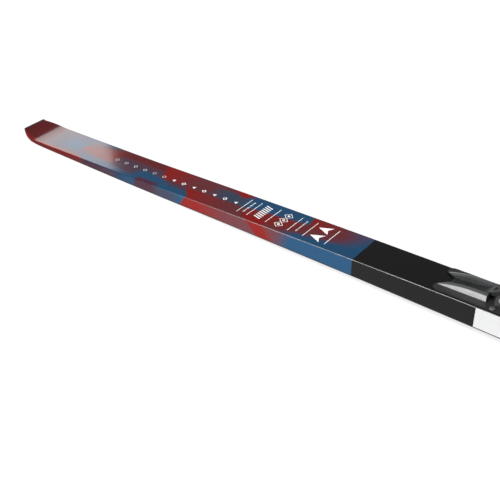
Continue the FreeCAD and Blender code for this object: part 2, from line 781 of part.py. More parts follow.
def lever_spring():
    """Torsion coils round the pin, one each side of the lever's hub."""
    pitch = size("spring_pitch")
    coil_radius = size("pin_radius") + size("spring_pitch")
    coils = []
    for hand in (1, -1):
        helix = Part.makeHelix(pitch, pitch * size("spring_turns"), coil_radius)
        start = FreeCAD.Vector(coil_radius, 0, 0)
        section = Part.Wire([Part.makeCircle(size("spring_wire_radius"), start, FreeCAD.Vector(0, 1, 0))])
        coil = Part.Wire(helix).makePipeShell([section], True, True)
        coil.rotate(FreeCAD.Vector(0, 0, 0), FreeCAD.Vector(1, 0, 0), -90 * hand)
        coil.translate(FreeCAD.Vector(size("pivot_x"), hand * (size("hub_half") + size("spring_clearance")),
                                      size("pivot_height")))
        coils += coil.Solids
    spring = doc.addObject("Part::Feature", "lever_spring")
    spring.Label = "lever_spring"
    spring.Shape = Part.makeCompound(coils)
    return spring


def toe_hook():
    """Steel hook drawn back over the boot bar, with a claw that rises in front of it."""
    body = new_body("toe_hook")
    side = new_sketch(body, "XZ_Plane", "hook_side")
    claw_x, top = "bar_x + bar_gap", "hook_floor + hook_plate"
    polygon(side, [("bar_x - 2", "hook_floor"), ("hook_front", "hook_floor"), ("hook_front", top),
                   (claw_x + " + claw_thickness", top),
                   (claw_x + " + claw_thickness", "bar_height + bar_gap + 0.2"),
                   (claw_x + " + claw_thickness - 1.6", "bar_height + bar_gap + bar_lead"),
                   ("bar_x - 0.6", "bar_height + bar_gap + 1.4"),
                   ("bar_x - 0.6", "bar_height + bar_gap"),
                   (claw_x, "bar_height + bar_gap"), (claw_x, top), ("bar_x - 2", top)])
    pad(side, "hook_half * 2", symmetric=True)
    return body


def fixed_jaw():
    """Steel wall behind the boot bar, with a lead-in slope that guides the bar down."""
    body = new_body("fixed_jaw")
    side = new_sketch(body, "XZ_Plane", "jaw_side")
    wall_x = "bar_x - bar_gap"
    polygon(side, [(wall_x + " - jaw_thickness - 4", "sole_level"), (wall_x, "sole_level"),
                   (wall_x, "bar_height + 1.4"), (wall_x + " - 1.6", "bar_height + 3.4"),
                   (wall_x + " - jaw_thickness", "bar_height + 3.4"),
                   (wall_x + " - jaw_thickness", "sole_level + 1.4"),
                   (wall_x + " - jaw_thickness - 4", "sole_level + 1.4")])
    pad(side, "jaw_half * 2", symmetric=True)
    return body


def flexor():
    """Rubber bumper that the boot's toe presses as the heel lifts."""
    body = new_body("flexor")
    side = new_sketch(body, "XZ_Plane", "flexor_side")
    floor = "sole_level + 1"
    polygon(side, [("flexor_rear + 0.4", floor), ("flexor_front", floor),
                   ("flexor_front", "flexor_top - 3"), ("flexor_front - 3", "flexor_top"),
                   ("flexor_rear + 7", "flexor_top"), ("flexor_rear + 2.4", "flexor_top - 4.6"),
                   ("flexor_rear + 0.4", "flexor_top - 8")])
    pad(side, "flexor_half * 2 - 0.4", symmetric=True)
    room = new_sketch(body, "XZ_Plane", "claw_room")
    rectangle(room, "flexor_rear - 1", "flexor_rear + 6", "sole_level", "bar_height + bar_gap + 2.6")
    pocket(room, "(hook_half + 0.6) * 2", symmetric=True)
    round_edges(body, "flexor_round", lambda box: box.YLength > 20 and box.ZMin > size("flexor_top") - 6)
    return body


def ridged_section(half, floor):
    """End view of a sliding cover: flat sole rest with two ridges that the boot straddles."""
    level, crest = "sole_level", "sole_level + ridge_height"
    right = [(half, floor), (half, level + " - 1"), (half + " - 1", level), ("ridge_outer", level),
             ("ridge_outer - ridge_draft", crest), ("ridge_inner + ridge_draft", crest),
             ("ridge_inner", level)]
    left = [("-(%s)" % y, z) for y, z in reversed(right)]
    return right + left


def guide_cover():
    """Long cover behind the jaw with the two guide ridges."""
    body = new_body("guide_cover")
    end = new_sketch(body, "YZ_Plane", "cover_end", "cover_rear")
    polygon(end, ridged_section("housing_half", "plate_top + slide_gap"))
    pad(end, "housing_rear - cover_rear")
    rail_slot(body, "rail_rear - 16", "housing_rear - rail_rear + 18")
    bore = new_sketch(body, "YZ_Plane", "cover_bore", "cover_rear - 1")
    circle(bore, RAIL_AXIS, "adjuster_radius + pin_clearance")
    pocket(bore, "adjuster_length", reverse=True)
    seat = new_sketch(body, "YZ_Plane", "adjuster_seat", "cover_rear - 1")
    circle(seat, RAIL_AXIS, "adjuster_head + slide_gap")
    pocket(seat, "adjuster_seat_depth", reverse=True)
    slope = new_sketch(body, "XZ_Plane", "ridge_ends")
    crest = "sole_level + ridge_height + 1"
    polygon(slope, [("cover_rear - 1", "sole_level + 0.2"), ("cover_rear + 10", crest),
                    ("cover_rear - 1", crest)])
    polygon(slope, [("housing_rear + 1", "sole_level + 0.2"), ("housing_rear + 1", crest),
                    ("housing_rear - 7", crest)])
    pocket(slope, symmetric=True)
    return body


def adjuster_screw():
    """Slotted screw that draws the toe unit along the rail."""
    body = new_body("adjuster_screw")
    head = new_sketch(body, "YZ_Plane", "adjuster_head", "cover_rear")
    circle(head, RAIL_AXIS, "adjuster_head")
    pad(head, "adjuster_head_length")
    shank = new_sketch(body, "YZ_Plane", "adjuster_shank", "cover_rear + 2")
    circle(shank, RAIL_AXIS, "adjuster_radius")
    pad(shank, "adjuster_length")
    slot = new_sketch(body, "YZ_Plane", "adjuster_slot", "cover_rear")
    rectangle(slot, "-adjuster_head * 2", "adjuster_head * 2", RAIL_AXIS[1] + " - adjuster_slot_half",
              RAIL_AXIS[1] + " + adjuster_slot_half")
    pocket(slot, "1", reverse=True)
    return body


def heel_track():
    """Base for the heel plate, screwed to the ski, with its own length of T rail."""
    body, side = plate_on_deck("heel_track", size("track_rear"), size("track_front"), 0)
    pad(side, "heel_half * 2 - 4", symmetric=True)
    round_edges(body, "nose_radius", lambda box: box.XLength < 0.01 and box.YLength < 0.01)
    rail = new_sketch(body, "YZ_Plane", "track_rail", "heel_rear + 2")
    rail_profile(rail, "plate_top - 0.5")
    pad(rail, "heel_front - heel_rear - 4")
    screw_seats(body, TRACK_SCREWS)
    return body


def heel_plate():
    """Sliding rest for the boot's heel, with ridges and two seats for rubber pads."""
    body = new_body("heel_plate")
    end = new_sketch(body, "YZ_Plane", "heel_end", "heel_rear")
    polygon(end, ridged_section("heel_half", "plate_top + slide_gap"))
    pad(end, "heel_front - heel_rear")
    rail_slot(body, "heel_rear - 1", "heel_front - heel_rear + 2")
    slope = new_sketch(body, "XZ_Plane", "heel_ridge_ends")
    crest = "sole_level + ridge_height + 1"
    polygon(slope, [("heel_rear - 1", "sole_level + 0.2"), ("heel_rear + 10", crest),
                    ("heel_rear - 1", crest)])
    polygon(slope, [("heel_front + 1", "sole_level + 0.2"), ("heel_front + 1", crest),
                    ("heel_front - 10", crest)])
    pocket(slope, symmetric=True)
    seats = new_sketch(body, "XY_Plane", "pad_seats", "sole_level")
    for low, high in (("pad_inner", "pad_outer"), ("-pad_outer", "-pad_inner")):
        rectangle(seats, "heel_rear + pad_margin", "heel_front - pad_margin", low, high)
    pocket(seats, "pad_depth")
    round_edges(body, "heel_round", lambda box: box.XLength < 0.01 and box.YLength < 0.01
                and abs(box.YMin) > size("heel_half") - 0.1)
    return body


def heel_pad(label, low, high):
    """Ribbed rubber inlay that stops the boot slipping."""
    body = new_body(label)
    plan = new_sketch(body, "XY_Plane", label + "_plan", "sole_level - pad_depth")
    rectangle(plan, "heel_rear + pad_margin", "heel_front - pad_margin", low, high)
    pad(plan, "pad_depth + pad_proud")
    ribs = new_sketch(body, "XZ_Plane", label + "_ribs")
    for k in range(9):
        start = "heel_rear + pad_margin + rib_width + %d * rib_pitch" % k
        rectangle(ribs, start, start + " + rib_gap", "sole_level + 0.1", "sole_level + pad_proud + 1")
    pocket(ribs, symmetric=True)
    return body


def binding_parts():
    return [
        mounting_plate(), screw_group("plate_screws", PLATE_SCREWS),
        front_fairing(), side_trim("side_trim_left", 1), side_trim("side_trim_right", -1),
        toe_housing(), latch_lever(), lever_pin(), lever_spring(), toe_hook(), fixed_jaw(), flexor(),
        guide_cover(), adjuster_screw(),
        heel_track(), screw_group("track_screws", TRACK_SCREWS), heel_plate(),
        heel_pad("heel_pad_left", "pad_inner", "pad_outer"),
        heel_pad("heel_pad_right", "-pad_outer", "-pad_inner"),
    ]


# ------------------------------------------------------------------ build and write

def main():
    parts = ski_parts() + binding_parts()
    doc.recompute()
    broken = [item.Label for item in doc.Objects
              if any(word in item.State for word in ("Invalid", "Error"))]
    broken += [part.Label for part in parts if part.Shape.isNull() or not part.Shape.isValid()]
    if broken:
        raise RuntimeError("not built: " + ", ".join(broken))
    os.makedirs("parts", exist_ok=True)
    for part in parts:
        part.Shape.exportStep(os.path.join("parts", part.Label + ".step"))
        box = part.Shape.BoundBox
        print("%-18s %d solids %9.0f mm3  x %.1f..%.1f  y %.1f..%.1f  z %.1f..%.1f" % (
            part.Label, len(part.Shape.Solids), part.Shape.Volume,
            box.XMin, box.XMax, box.YMin, box.YMax, box.ZMin, box.ZMax))


main()
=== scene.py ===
"""Looks of one touring cross-country ski with its toe binding and heel plate.

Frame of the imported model, in metres: +X towards the tip, +Y towards the skier's left, +Z up.
Places in the print are in millimetres, from one end of the ski and to the left of its centre line.
"""
import math

import bpy
import bmesh
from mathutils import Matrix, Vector
from mathutils.bvhtree import BVHTree


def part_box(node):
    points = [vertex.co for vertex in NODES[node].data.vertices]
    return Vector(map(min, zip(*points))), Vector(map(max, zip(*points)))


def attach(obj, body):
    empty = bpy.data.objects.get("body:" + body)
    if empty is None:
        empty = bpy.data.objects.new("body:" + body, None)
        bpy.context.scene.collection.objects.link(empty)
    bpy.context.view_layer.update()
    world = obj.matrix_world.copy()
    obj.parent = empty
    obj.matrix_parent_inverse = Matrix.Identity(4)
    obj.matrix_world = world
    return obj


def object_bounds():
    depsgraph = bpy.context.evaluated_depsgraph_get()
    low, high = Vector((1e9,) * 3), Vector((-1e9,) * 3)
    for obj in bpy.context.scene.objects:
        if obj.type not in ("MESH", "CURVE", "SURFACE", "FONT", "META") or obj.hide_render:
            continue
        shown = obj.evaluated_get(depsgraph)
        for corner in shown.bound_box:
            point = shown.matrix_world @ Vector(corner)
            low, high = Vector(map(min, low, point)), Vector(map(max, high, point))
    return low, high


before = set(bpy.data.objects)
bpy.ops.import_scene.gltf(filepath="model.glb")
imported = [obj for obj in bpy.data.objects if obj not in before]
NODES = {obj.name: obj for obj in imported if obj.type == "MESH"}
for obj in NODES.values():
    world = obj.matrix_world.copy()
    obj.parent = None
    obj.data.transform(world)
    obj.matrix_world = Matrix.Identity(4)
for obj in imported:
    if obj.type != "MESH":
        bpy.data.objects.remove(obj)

MM = 0.001
CAD_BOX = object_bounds()
TAIL = CAD_BOX[0].x
TIP = CAD_BOX[1].x

# ------------------------------------------------------------------ colours

BLACK_FILM = (0.0034, 0.0034, 0.0037)
BLACK_FILM_CLOUD = (0.0048, 0.0048, 0.0051)
RED = (0.115, 0.0070, 0.0060)
BRIGHT_RED = (0.140, 0.0035, 0.0022)
MAROON = (0.076, 0.0145, 0.0170)
OXBLOOD = (0.070, 0.0075, 0.0085)
DUSTY_RED = (0.080, 0.0215, 0.0270)
PLUM = (0.041, 0.0210, 0.0350)
WINE = (0.041, 0.0120, 0.0250)
NAVY = (0.0060, 0.0230, 0.0600)
SLATE = (0.0235, 0.0300, 0.0530)
SLATE_BLUE = (0.0150, 0.0320, 0.0700)
BLUE = (0.0072, 0.0395, 0.0900)
INK_WHITE = (0.72, 0.72, 0.72)
INK_THIN = (0.62, 0.62, 0.62)
# A pale grey for the painted highlight along the cap's rounded long edges.
HIGHLIGHT_GREY = (0.17, 0.17, 0.17)
WALL_WARM = (0.56, 0.56, 0.555)
WALL_COLD = (0.51, 0.515, 0.52)
WALL_MARK = (0.36, 0.36, 0.36)
GLASS_DEEP = (0.30, 0.31, 0.18)
GLASS_PALE = (0.42, 0.42, 0.26)
FOAM_DEEP = (0.62, 0.50, 0.28)
FOAM_PALE = (0.74, 0.63, 0.40)
POPLAR_DEEP = (0.50, 0.31, 0.15)
POPLAR_PALE = (0.62, 0.43, 0.24)
POPLAR_PORE = (0.34, 0.19, 0.08)
FLOOR_DEEP = (0.205, 0.205, 0.205)
FLOOR_PALE = (0.225, 0.225, 0.225)
SKY_WHITE = (0.96, 0.96, 0.96)
SKY_GREY = (0.24, 0.24, 0.25)


def rgba(colour):
    return (*colour, 1.0)


def grey(level, warmth=0.0):
    """A grey, leaning to red for a warmth above 0 and to blue below it."""
    return rgba((level * (1 + warmth), level, level * (1 - warmth)))


# ------------------------------------------------------------------ shader graph

# Nearly all the values of one noise lie in NOISE_SPAN, and of two noises added in SUM_SPAN.
NOISE_SPAN = (0.3, 0.7)
SUM_SPAN = (0.7, 1.3)


class Graph:
    """A material's node tree, with a short call for each kind of node used here."""

    def __init__(self, name):
        self.material = bpy.data.materials.new(name)
        self.material.use_nodes = True
        self.tree = self.material.node_tree
        self.tree.nodes.clear()
        self.shader = self.tree.nodes.new("ShaderNodeBsdfPrincipled")
        output = self.tree.nodes.new("ShaderNodeOutputMaterial")
        self.tree.links.new(self.shader.outputs["BSDF"], output.inputs["Surface"])
        self.place = self.tree.nodes.new("ShaderNodeTexCoord").outputs["Object"]
        normal = self.tree.nodes.new("ShaderNodeNewGeometry").outputs["Normal"]
        self.rise = self.split(normal)[2]

    def feed(self, socket, value):
        """Link an output into a socket, or set the socket to a plain value."""
        if isinstance(value, bpy.types.NodeSocket):
            self.tree.links.new(value, socket)
        else:
            socket.default_value = value

    def math(self, operation, *values):
        node = self.tree.nodes.new("ShaderNodeMath")
        node.operation = operation
        for socket, value in zip(node.inputs, values):
            self.feed(socket, value)
        return node.outputs[0]

    def vector(self, operation, first, second):
        node = self.tree.nodes.new("ShaderNodeVectorMath")
        node.operation = operation
        self.feed(node.inputs[0], first)
        self.feed(node.inputs["Scale" if operation == "SCALE" else 1], second)
        return node.outputs["Vector"]

    def split(self, vector):
        node = self.tree.nodes.new("ShaderNodeSeparateXYZ")
        self.feed(node.inputs[0], vector)
        return node.outputs

    def scaled(self, x, y, z):
        """The place times a number for each axis. A pattern on it is longest where that is least."""
        return self.vector("MULTIPLY", self.place, (x, y, z))

    def noise(self, vector, scale, detail=2.0, roughness=0.5, output="Fac"):
        node = self.tree.nodes.new("ShaderNodeTexNoise")
        self.feed(node.inputs["Vector"], vector)
        node.inputs["Scale"].default_value = scale
        node.inputs["Detail"].default_value = detail
        node.inputs["Roughness"].default_value = roughness
        return node.outputs[output]

    def ramp(self, value, start, end, low=0.0, high=1.0):
        """Smooth step from low at start to high at end."""
        node = self.tree.nodes.new("ShaderNodeMapRange")
        node.interpolation_type = "SMOOTHSTEP"
        for name, number in (("Value", value), ("From Min", start), ("From Max", end),
                             ("To Min", low), ("To Max", high)):
            self.feed(node.inputs[name], number)
        return node.outputs["Result"]

    def blend(self, factor, first, second):
        node = self.tree.nodes.new("ShaderNodeMix")
        node.data_type = "RGBA"
        for socket, value in zip((node.inputs["Factor"], node.inputs[6], node.inputs[7]),
                                 (factor, first, second)):
            self.feed(socket, value)
        return node.outputs[2]

    def bump(self, height, distance):
        node = self.tree.nodes.new("ShaderNodeBump")
        node.inputs["Distance"].default_value = distance
        self.feed(node.inputs["Height"], height)
        self.tree.links.new(node.outputs["Normal"], self.shader.inputs["Normal"])

    def finish(self, colour, roughness, metallic=0.0, specular=0.5):
        for name, value in (("Base Color", colour), ("Roughness", roughness), ("Metallic", metallic),
                            ("Specular IOR Level", specular)):
            self.feed(self.shader.inputs[name], value)
        return self.material


# ------------------------------------------------------------------ the printed cap

FAR = (-90, 1, 0)
NEAR = (90, 1, 0)

# Each panel of the airbrushed print is a tint and four soft edges, each edge a place, a softness
# and a slope, in mm. The first two edges lie at a distance from the ski's end, the last two at a
# distance to the left of its centre line, measured over the cap's edge and down its side. FAR and
# NEAR lie past the cap, so a panel that has one of them reaches all the way to that side.
FRONT_PANELS = (
    (OXBLOOD, (-20, 1, 0), (46, 20, 0), FAR, NEAR),
    (PLUM, (54, 26, 0), (150, 30, 0), FAR, NEAR),
    (BLUE, (82, 24, 0), (128, 14, 0), (-15, 14, 0), (15, 10, 0)),
    (SLATE_BLUE, (98, 20, 0), (176, 24, 0), FAR, (-19, 10, 0)),
    (RED, (-20, 1, 0), (152, 34, 0), (24, 6, 0), NEAR),
    (SLATE_BLUE, (96, 12, 1.8), (262, 3, 0), (14, 9, 0), NEAR),
    (PLUM, (156, 20, 0), (226, 34, 0), (32, 2, 0), NEAR),
    (WINE, (152, 18, 0), (192, 30, 0), (32, 2, 0), NEAR),
    (NAVY, (222, 26, 0), (262, 3, 0), (32, 2, 0), NEAR),
    (MAROON, (128, 24, 0), (200, 30, 0), (-24, 12, 0), (13, 8, 0)),
    (RED, (119, 4, 0), (235, 90, 0), (-3, 4, -0.30), (1, 4, 0.18)),
    (OXBLOOD, (190, 40, 0), (300, 60, 0), FAR, (-12, 12, 0)),
    (PLUM, (196, 30, 0), (295, 8, 0), (-12, 9, 0), (20, 7, 0)),
    (BLUE, (258, 24, -0.6), (341, 3, 0.87), (0, 7, 0.15), NEAR),
    (PLUM, (312, 16, 0), (360, 3, 0.87), (3, 5, 0), (16, 6, 0)),
    (SLATE, (263, 3, 0), (345, 30, 0), (32, 2, 0), NEAR),
    (WINE, (263, 3, 0), (304, 18, 0), (21, 7, 0), NEAR),
    (MAROON, (300, 1, 0.45), (395, 60, 0), FAR, (4, 4, 0.04)),
    (BRIGHT_RED, (293, 3, 0.45), (328, 70, 0), FAR, (4, 4, 0.04)),
    (SLATE, (394, 34, 0), (470, 20, 0), (-21, 9, 0), (5, 8, 0)),
    (MAROON, (341, 3, 0.87), (560, 40, 0), (6, 7, 0), NEAR),
    (BRIGHT_RED, (341, 3, 0.87), (398, 100, 0), (7, 6, 0), (32, 1, 0)),
    (BRIGHT_RED, (384, 3, -0.6), (450, 150, 0), (31, 1, 0), NEAR),
    (DUSTY_RED, (425, 90, 0), (560, 20, 0), (31, 3, 0), NEAR),
    (BLUE, (449, 26, 0), (640, 60, 0), FAR, (4, 8, -0.12)),
    (RED, (466, 20, 0), (548, 60, 0), (1, 7, -0.10), (26, 12, -0.10)),
    (BRIGHT_RED, (446, 3, 1.0), (492, 20, 0.6), (15, 5, 0), NEAR),
    (BRIGHT_RED, (464, 3, 1.68), (424, 2, -0.9), FAR, (-12, 2, 0)),
    (MAROON, (565.7, 2, 0.28), (632, 50, 0), FAR, (9, 16, -0.05)),
    (RED, (565.7, 1, 0.28), (598, 60, 0), FAR, (-4, 9, 0)),
    (BLUE, (552, 34, -0.3), (720, 1, 0), (18, 12, -0.12), NEAR),
    (BLUE, (632, 48, -0.7), (720, 1, 0), FAR, NEAR),
)
TAIL_PANELS = (
    (RED, (-20, 1, 0), (140, 70, 0), FAR, (-6, 12, 0)),
    (BLUE, (40, 30, 0), (150, 12, 0), (-2, 9, 0), (24, 8, 0)),
    (PLUM, (128, 26, 0), (230, 40, 0), (-24, 10, 0), (14, 8, 0)),
    (SLATE_BLUE, (150, 22, 0.6), (262, 3, 0.4), FAR, (-12, 8, 0.05)),
    (RED, (186, 4, -0.9), (290, 70, 0), (2, 6, 0), NEAR),
    (SLATE, (248, 26, 0), (330, 20, 0), (-18, 9, 0), (8, 9, 0)),
    (BRIGHT_RED, (268, 3, 0.8), (356, 80, 0), FAR, (-8, 4, 0.08)),
    (BLUE, (300, 26, 0), (402, 3, -0.8), (4, 7, -0.04), NEAR),
    (MAROON, (392, 3, -0.8), (520, 40, 0), (-3, 6, 0), NEAR),
    (BRIGHT_RED, (396, 3, -0.8), (450, 80, 0), (6, 6, 0), NEAR),
    (BLUE, (405, 24, 0), (600, 1, 0), FAR, (-1, 8, 0.10)),
    (BLUE, (518, 50, 0.6), (600, 1, 0), FAR, NEAR),
)

# The airbrushed edges wander by up to this much to either side.
WANDER_ALONG = 6 * MM
WANDER_ACROSS = 3 * MM

# A smooth stand-in for the height of the cap's upper edge: a height at the ski's middle, less a fall
# that grows with a power of the way to the tip.
CROWN_AT_MIDDLE = 37.5 * MM
CROWN_FALL = 28.4 * MM
CROWN_POWER = 1.2

FILM_SPECULAR = 0.2


def wandered(graph, value, drift, reach):
    """A value moved by up to a reach to either side, as a noise drifts between 0 and 1."""
    return graph.math("ADD", value, graph.math("MULTIPLY_ADD", drift, 2 * reach, -reach))


def cap_place(graph, end, heading):
    """Distance from one end, distance to the left over the unrolled cap, and 1 on its side, 0 on top."""
    x, y, z = graph.split(graph.place)
    drift = graph.split(graph.noise(graph.place, 11, detail=1, output="Color"))
    along = wandered(graph, graph.math("SUBTRACT", end, x), drift[0], WANDER_ALONG)
    reach = graph.math("DIVIDE", graph.math("ABSOLUTE", x), TIP)
    crown = graph.math("MULTIPLY_ADD", graph.math("POWER", reach, CROWN_POWER), -CROWN_FALL,
                       CROWN_AT_MIDDLE)
    drop = graph.math("MAXIMUM", graph.math("SUBTRACT", crown, z), 0.0)
    flank = graph.ramp(graph.math("ABSOLUTE", graph.rise), 0.75, 0.35)
    drop = graph.math("MULTIPLY", graph.math("MULTIPLY", drop, flank), graph.math("SIGN", y))
    across = wandered(graph, graph.math("ADD", y, drop), drift[1], WANDER_ACROSS)
    from_end = graph.math("MULTIPLY", along, heading / MM)
    side = graph.math("MULTIPLY", across, 1 / MM)
    return from_end, side, flank


def edge(graph, along, across, line, inward):
    """1 on the inner side of a soft, sloping edge and 0 on its outer side."""
    position, softness, slope = line
    offset = graph.math("SUBTRACT", along, position)
    if slope:
        offset = graph.math("SUBTRACT", offset, graph.math("MULTIPLY", across, slope))
    return graph.ramp(offset, -inward * softness / 2, inward * softness / 2)


def panel(graph, from_end, side, colour, spec):
    """Lay one panel over a colour. The slope of its last two edges counts from its start."""
    tint, start, finish, far, near = spec
    run = graph.math("SUBTRACT", from_end, start[0])
    inside = graph.math("MULTIPLY", edge(graph, from_end, side, start, 1),
                        edge(graph, from_end, side, finish, -1))
    for line, inward in ((far, 1), (near, -1)):
        if line not in (FAR, NEAR):
            inside = graph.math("MULTIPLY", inside, edge(graph, side, run, line, inward))
    return graph.blend(inside, colour, rgba(tint))


def gloss_film(graph, colour, specular=FILM_SPECULAR):
    """Clear film: faint orange peel and hairline scratches along the ski."""
    streaks = graph.noise(graph.scaled(6, 260, 260), 3, detail=3)
    peel = graph.noise(graph.place, 420, detail=1)
    haze = graph.noise(graph.place, 24, detail=3)
    graph.bump(graph.math("ADD", peel, graph.math("MULTIPLY", streaks, 0.4)), 0.01 * MM)
    rough = graph.ramp(graph.math("ADD", haze, streaks), 0.7, 1.4, 0.08, 0.13)
    return graph.finish(colour, rough, specular=specular)


def painted_edge_highlight(graph, colour, strength):
    """Paint a pale band on the cap's rounded long edges: a painted highlight, standing in for the bright
    line that light draws along them.
    """
    band = graph.math("MULTIPLY", graph.ramp(graph.rise, 0.48, 0.66), graph.ramp(graph.rise, 0.94, 0.84))
    return graph.blend(graph.math("MULTIPLY", band, strength), colour, rgba(HIGHLIGHT_GREY))


def printed_film(name, panels, end, heading):
    """Airbrushed panels on maroon, speckled. The side has a duller sheen near the end, and painted light:
    its colour is a little darker near the end and paler further on.
    """
    graph = Graph(name)
    from_end, side, flank = cap_place(graph, end, heading)
    colour = rgba(MAROON)
    for spec in panels:
        colour = panel(graph, from_end, side, colour, spec)
    speckle = graph.ramp(graph.noise(graph.place, 620), *NOISE_SPAN, 0.88, 1.12)
    # Painted light: the cap's sides are made a little darker near the end and paler further on, standing
    # in for light from the side.
    painted_side_light = graph.math("MULTIPLY", flank, graph.ramp(from_end, 190, 400, -0.08, 0.5))
    colour = graph.vector("SCALE", colour, graph.math("ADD", speckle, painted_side_light))
    # Painted highlight along the rounded long edges, coming in from 230 to 560 mm from the end.
    colour = painted_edge_highlight(graph, colour, graph.ramp(from_end, 230, 560, 0.0, 0.75))
    dulled = graph.math("MULTIPLY", flank, graph.ramp(from_end, 90, 220, 0.14, 0.0))
    return gloss_film(graph, colour, graph.math("SUBTRACT", FILM_SPECULAR, dulled))


def black_film():
    """The plain black length of the cap, with a painted highlight along its long edges."""
    graph = Graph("black_film")
    cloud = graph.noise(graph.place, 60, detail=3)
    colour = graph.blend(cloud, rgba(BLACK_FILM), rgba(BLACK_FILM_CLOUD))
    # Painted highlight along the rounded long edges, at full strength.
    return gloss_film(graph, painted_edge_highlight(graph, colour, 1.0))


# ------------------------------------------------------------------ other materials

def moulded(name, level, rough=0.42, wall_shade_level=1.0):
    """Moulded plastic: spark-eroded grain, flow clouding, and scuffs along the ski.

    Upright faces keep only the given part of the colour: painted shade, standing in for the dark shadow
    gap under an overhanging edge.
    """
    graph = Graph(name)
    warmth = -0.03
    cloud = graph.noise(graph.place, 45, detail=4)
    colour = graph.blend(graph.ramp(cloud, 0.35, 0.65), grey(level * 0.88, warmth),
                         grey(level * 1.12, warmth))
    strokes = graph.noise(graph.scaled(1, 8, 8), 170, detail=4, roughness=0.7)
    worn = graph.ramp(strokes, 0.66, 0.74, 0.0, 0.5)
    colour = graph.blend(worn, colour, grey(level * 1.5 + 0.02, warmth))
    flat = graph.math("ABSOLUTE", graph.rise)
    # Painted shade: upright faces are darkened to the given part of the colour.
    colour = graph.vector("SCALE", colour, graph.ramp(flat, 0.2, 0.6, wall_shade_level, 1.0))
    pits = graph.noise(graph.place, 1600, detail=3, roughness=0.6)
    graph.bump(graph.math("SUBTRACT", pits, graph.math("MULTIPLY", worn, 0.4)), 0.04 * MM)
    roughness = graph.ramp(graph.math("ADD", cloud, pits), *SUM_SPAN, rough - 0.07, rough + 0.09)
    return graph.finish(colour, roughness, specular=0.4)


def trim():
    """Light inlay with fine pitch lines and a darker edge along its crest."""
    graph = Graph("trim_light")
    crest = graph.ramp(graph.rise, 0.25, 0.6)
    haze = graph.noise(graph.place, 120, detail=3)
    colour = graph.blend(graph.ramp(haze, *NOISE_SPAN), grey(0.40), grey(0.46))
    colour = graph.blend(graph.math("MULTIPLY", crest, 0.75), colour, grey(0.07))
    lines = graph.noise(graph.scaled(40, 900, 900), 1)
    graph.bump(lines, 0.02 * MM)
    return graph.finish(colour, graph.ramp(lines, *NOISE_SPAN, 0.26, 0.38), specular=0.4)


def steel(name, level, stretch, rough=0.28):
    """Brushed metal with faint stains. Its fine lines run along the axis that stretch scales least."""
    graph = Graph(name)
    lines = graph.noise(graph.scaled(*stretch), 420, detail=3, roughness=0.6)
    stain = graph.noise(graph.place, 130, detail=3)
    colour = graph.blend(graph.ramp(stain, *NOISE_SPAN), grey(level * 0.88, 0.02), grey(level))
    graph.bump(lines, 0.002 * MM)
    roughness = graph.ramp(graph.math("ADD", lines, stain), *SUM_SPAN, rough - 0.06, rough + 0.10)
    return graph.finish(colour, roughness, metallic=1.0)


def rubber(name, level):
    """Matt rubber: fine pebble and a dusty bloom."""
    graph = Graph(name)
    bloom = graph.noise(graph.place, 70, detail=4)
    colour = graph.blend(graph.ramp(bloom, 0.4, 0.75), grey(level), grey(level * 1.8 + 0.004, 0.04))
    pebble = graph.noise(graph.place, 1100)
    graph.bump(pebble, 0.06 * MM)
    return graph.finish(colour, graph.ramp(pebble, *NOISE_SPAN, 0.6, 0.78), specular=0.25)


def sidewall():
    """Light plastic wall: sanded lines along the ski, small marks and a faint cold tint."""
    graph = Graph("sidewall_white")
    sanding = graph.noise(graph.scaled(3, 40, 420), 8, detail=3)
    marks = graph.noise(graph.scaled(1, 5, 5), 110, detail=4, roughness=0.7)
    colour = graph.blend(graph.ramp(sanding, *NOISE_SPAN), rgba(WALL_WARM), rgba(WALL_COLD))
    colour = graph.blend(graph.ramp(marks, 0.66, 0.76, 0.0, 0.5), colour, rgba(WALL_MARK))
    graph.bump(sanding, 0.01 * MM)
    return graph.finish(colour, graph.ramp(marks, *NOISE_SPAN, 0.25, 0.42), specular=0.35)


def running_base(name, rough):
    """Sintered base: stone-ground lines along the ski, carbon speckle and grey wear."""
    graph = Graph(name)
    lines = graph.noise(graph.scaled(2, 1800, 1), 1)
    speckle = graph.noise(graph.place, 700)
    wear = graph.noise(graph.scaled(1, 6, 6), 14, detail=4)
    colour = graph.blend(graph.ramp(speckle, 0.45, 0.65), grey(0.010), grey(0.018))
    colour = graph.blend(graph.ramp(wear, 0.5, 0.8, 0.0, 0.6), colour, grey(0.035))
    graph.bump(lines, 0.03 * MM)
    return graph.finish(colour, graph.ramp(wear, *NOISE_SPAN, rough, rough + 0.15), specular=0.35)


def laminate():
    """Glass cloth in clear resin: a fine square weave with a green-yellow cast."""
    graph = Graph("laminate")
    phase_per_metre = 3100.0
    x, y, _ = graph.split(graph.place)
    warp = graph.math("SINE", graph.math("MULTIPLY", x, phase_per_metre))
    weft = graph.math("SINE", graph.math("MULTIPLY", y, phase_per_metre))
    weave = graph.math("MULTIPLY", warp, weft)
    colour = graph.blend(graph.ramp(weave, -0.6, 0.6), rgba(GLASS_DEEP), rgba(GLASS_PALE))
    graph.bump(weave, 0.02 * MM)
    return graph.finish(colour, graph.ramp(weave, -1, 1, 0.3, 0.45))


def foam():
    """Closed-cell foam: small round cells."""
    graph = Graph("foam")
    cells = graph.tree.nodes.new("ShaderNodeTexVoronoi")
    cells.inputs["Scale"].default_value = 1300
    graph.feed(cells.inputs["Vector"], graph.place)
    wall = cells.outputs["Distance"]
    colour = graph.blend(graph.ramp(wall, 0.1, 0.6), rgba(FOAM_DEEP), rgba(FOAM_PALE))
    graph.bump(wall, 0.1 * MM)
    return graph.finish(colour, graph.ramp(wall, 0, 1, 0.7, 0.9), specular=0.2)


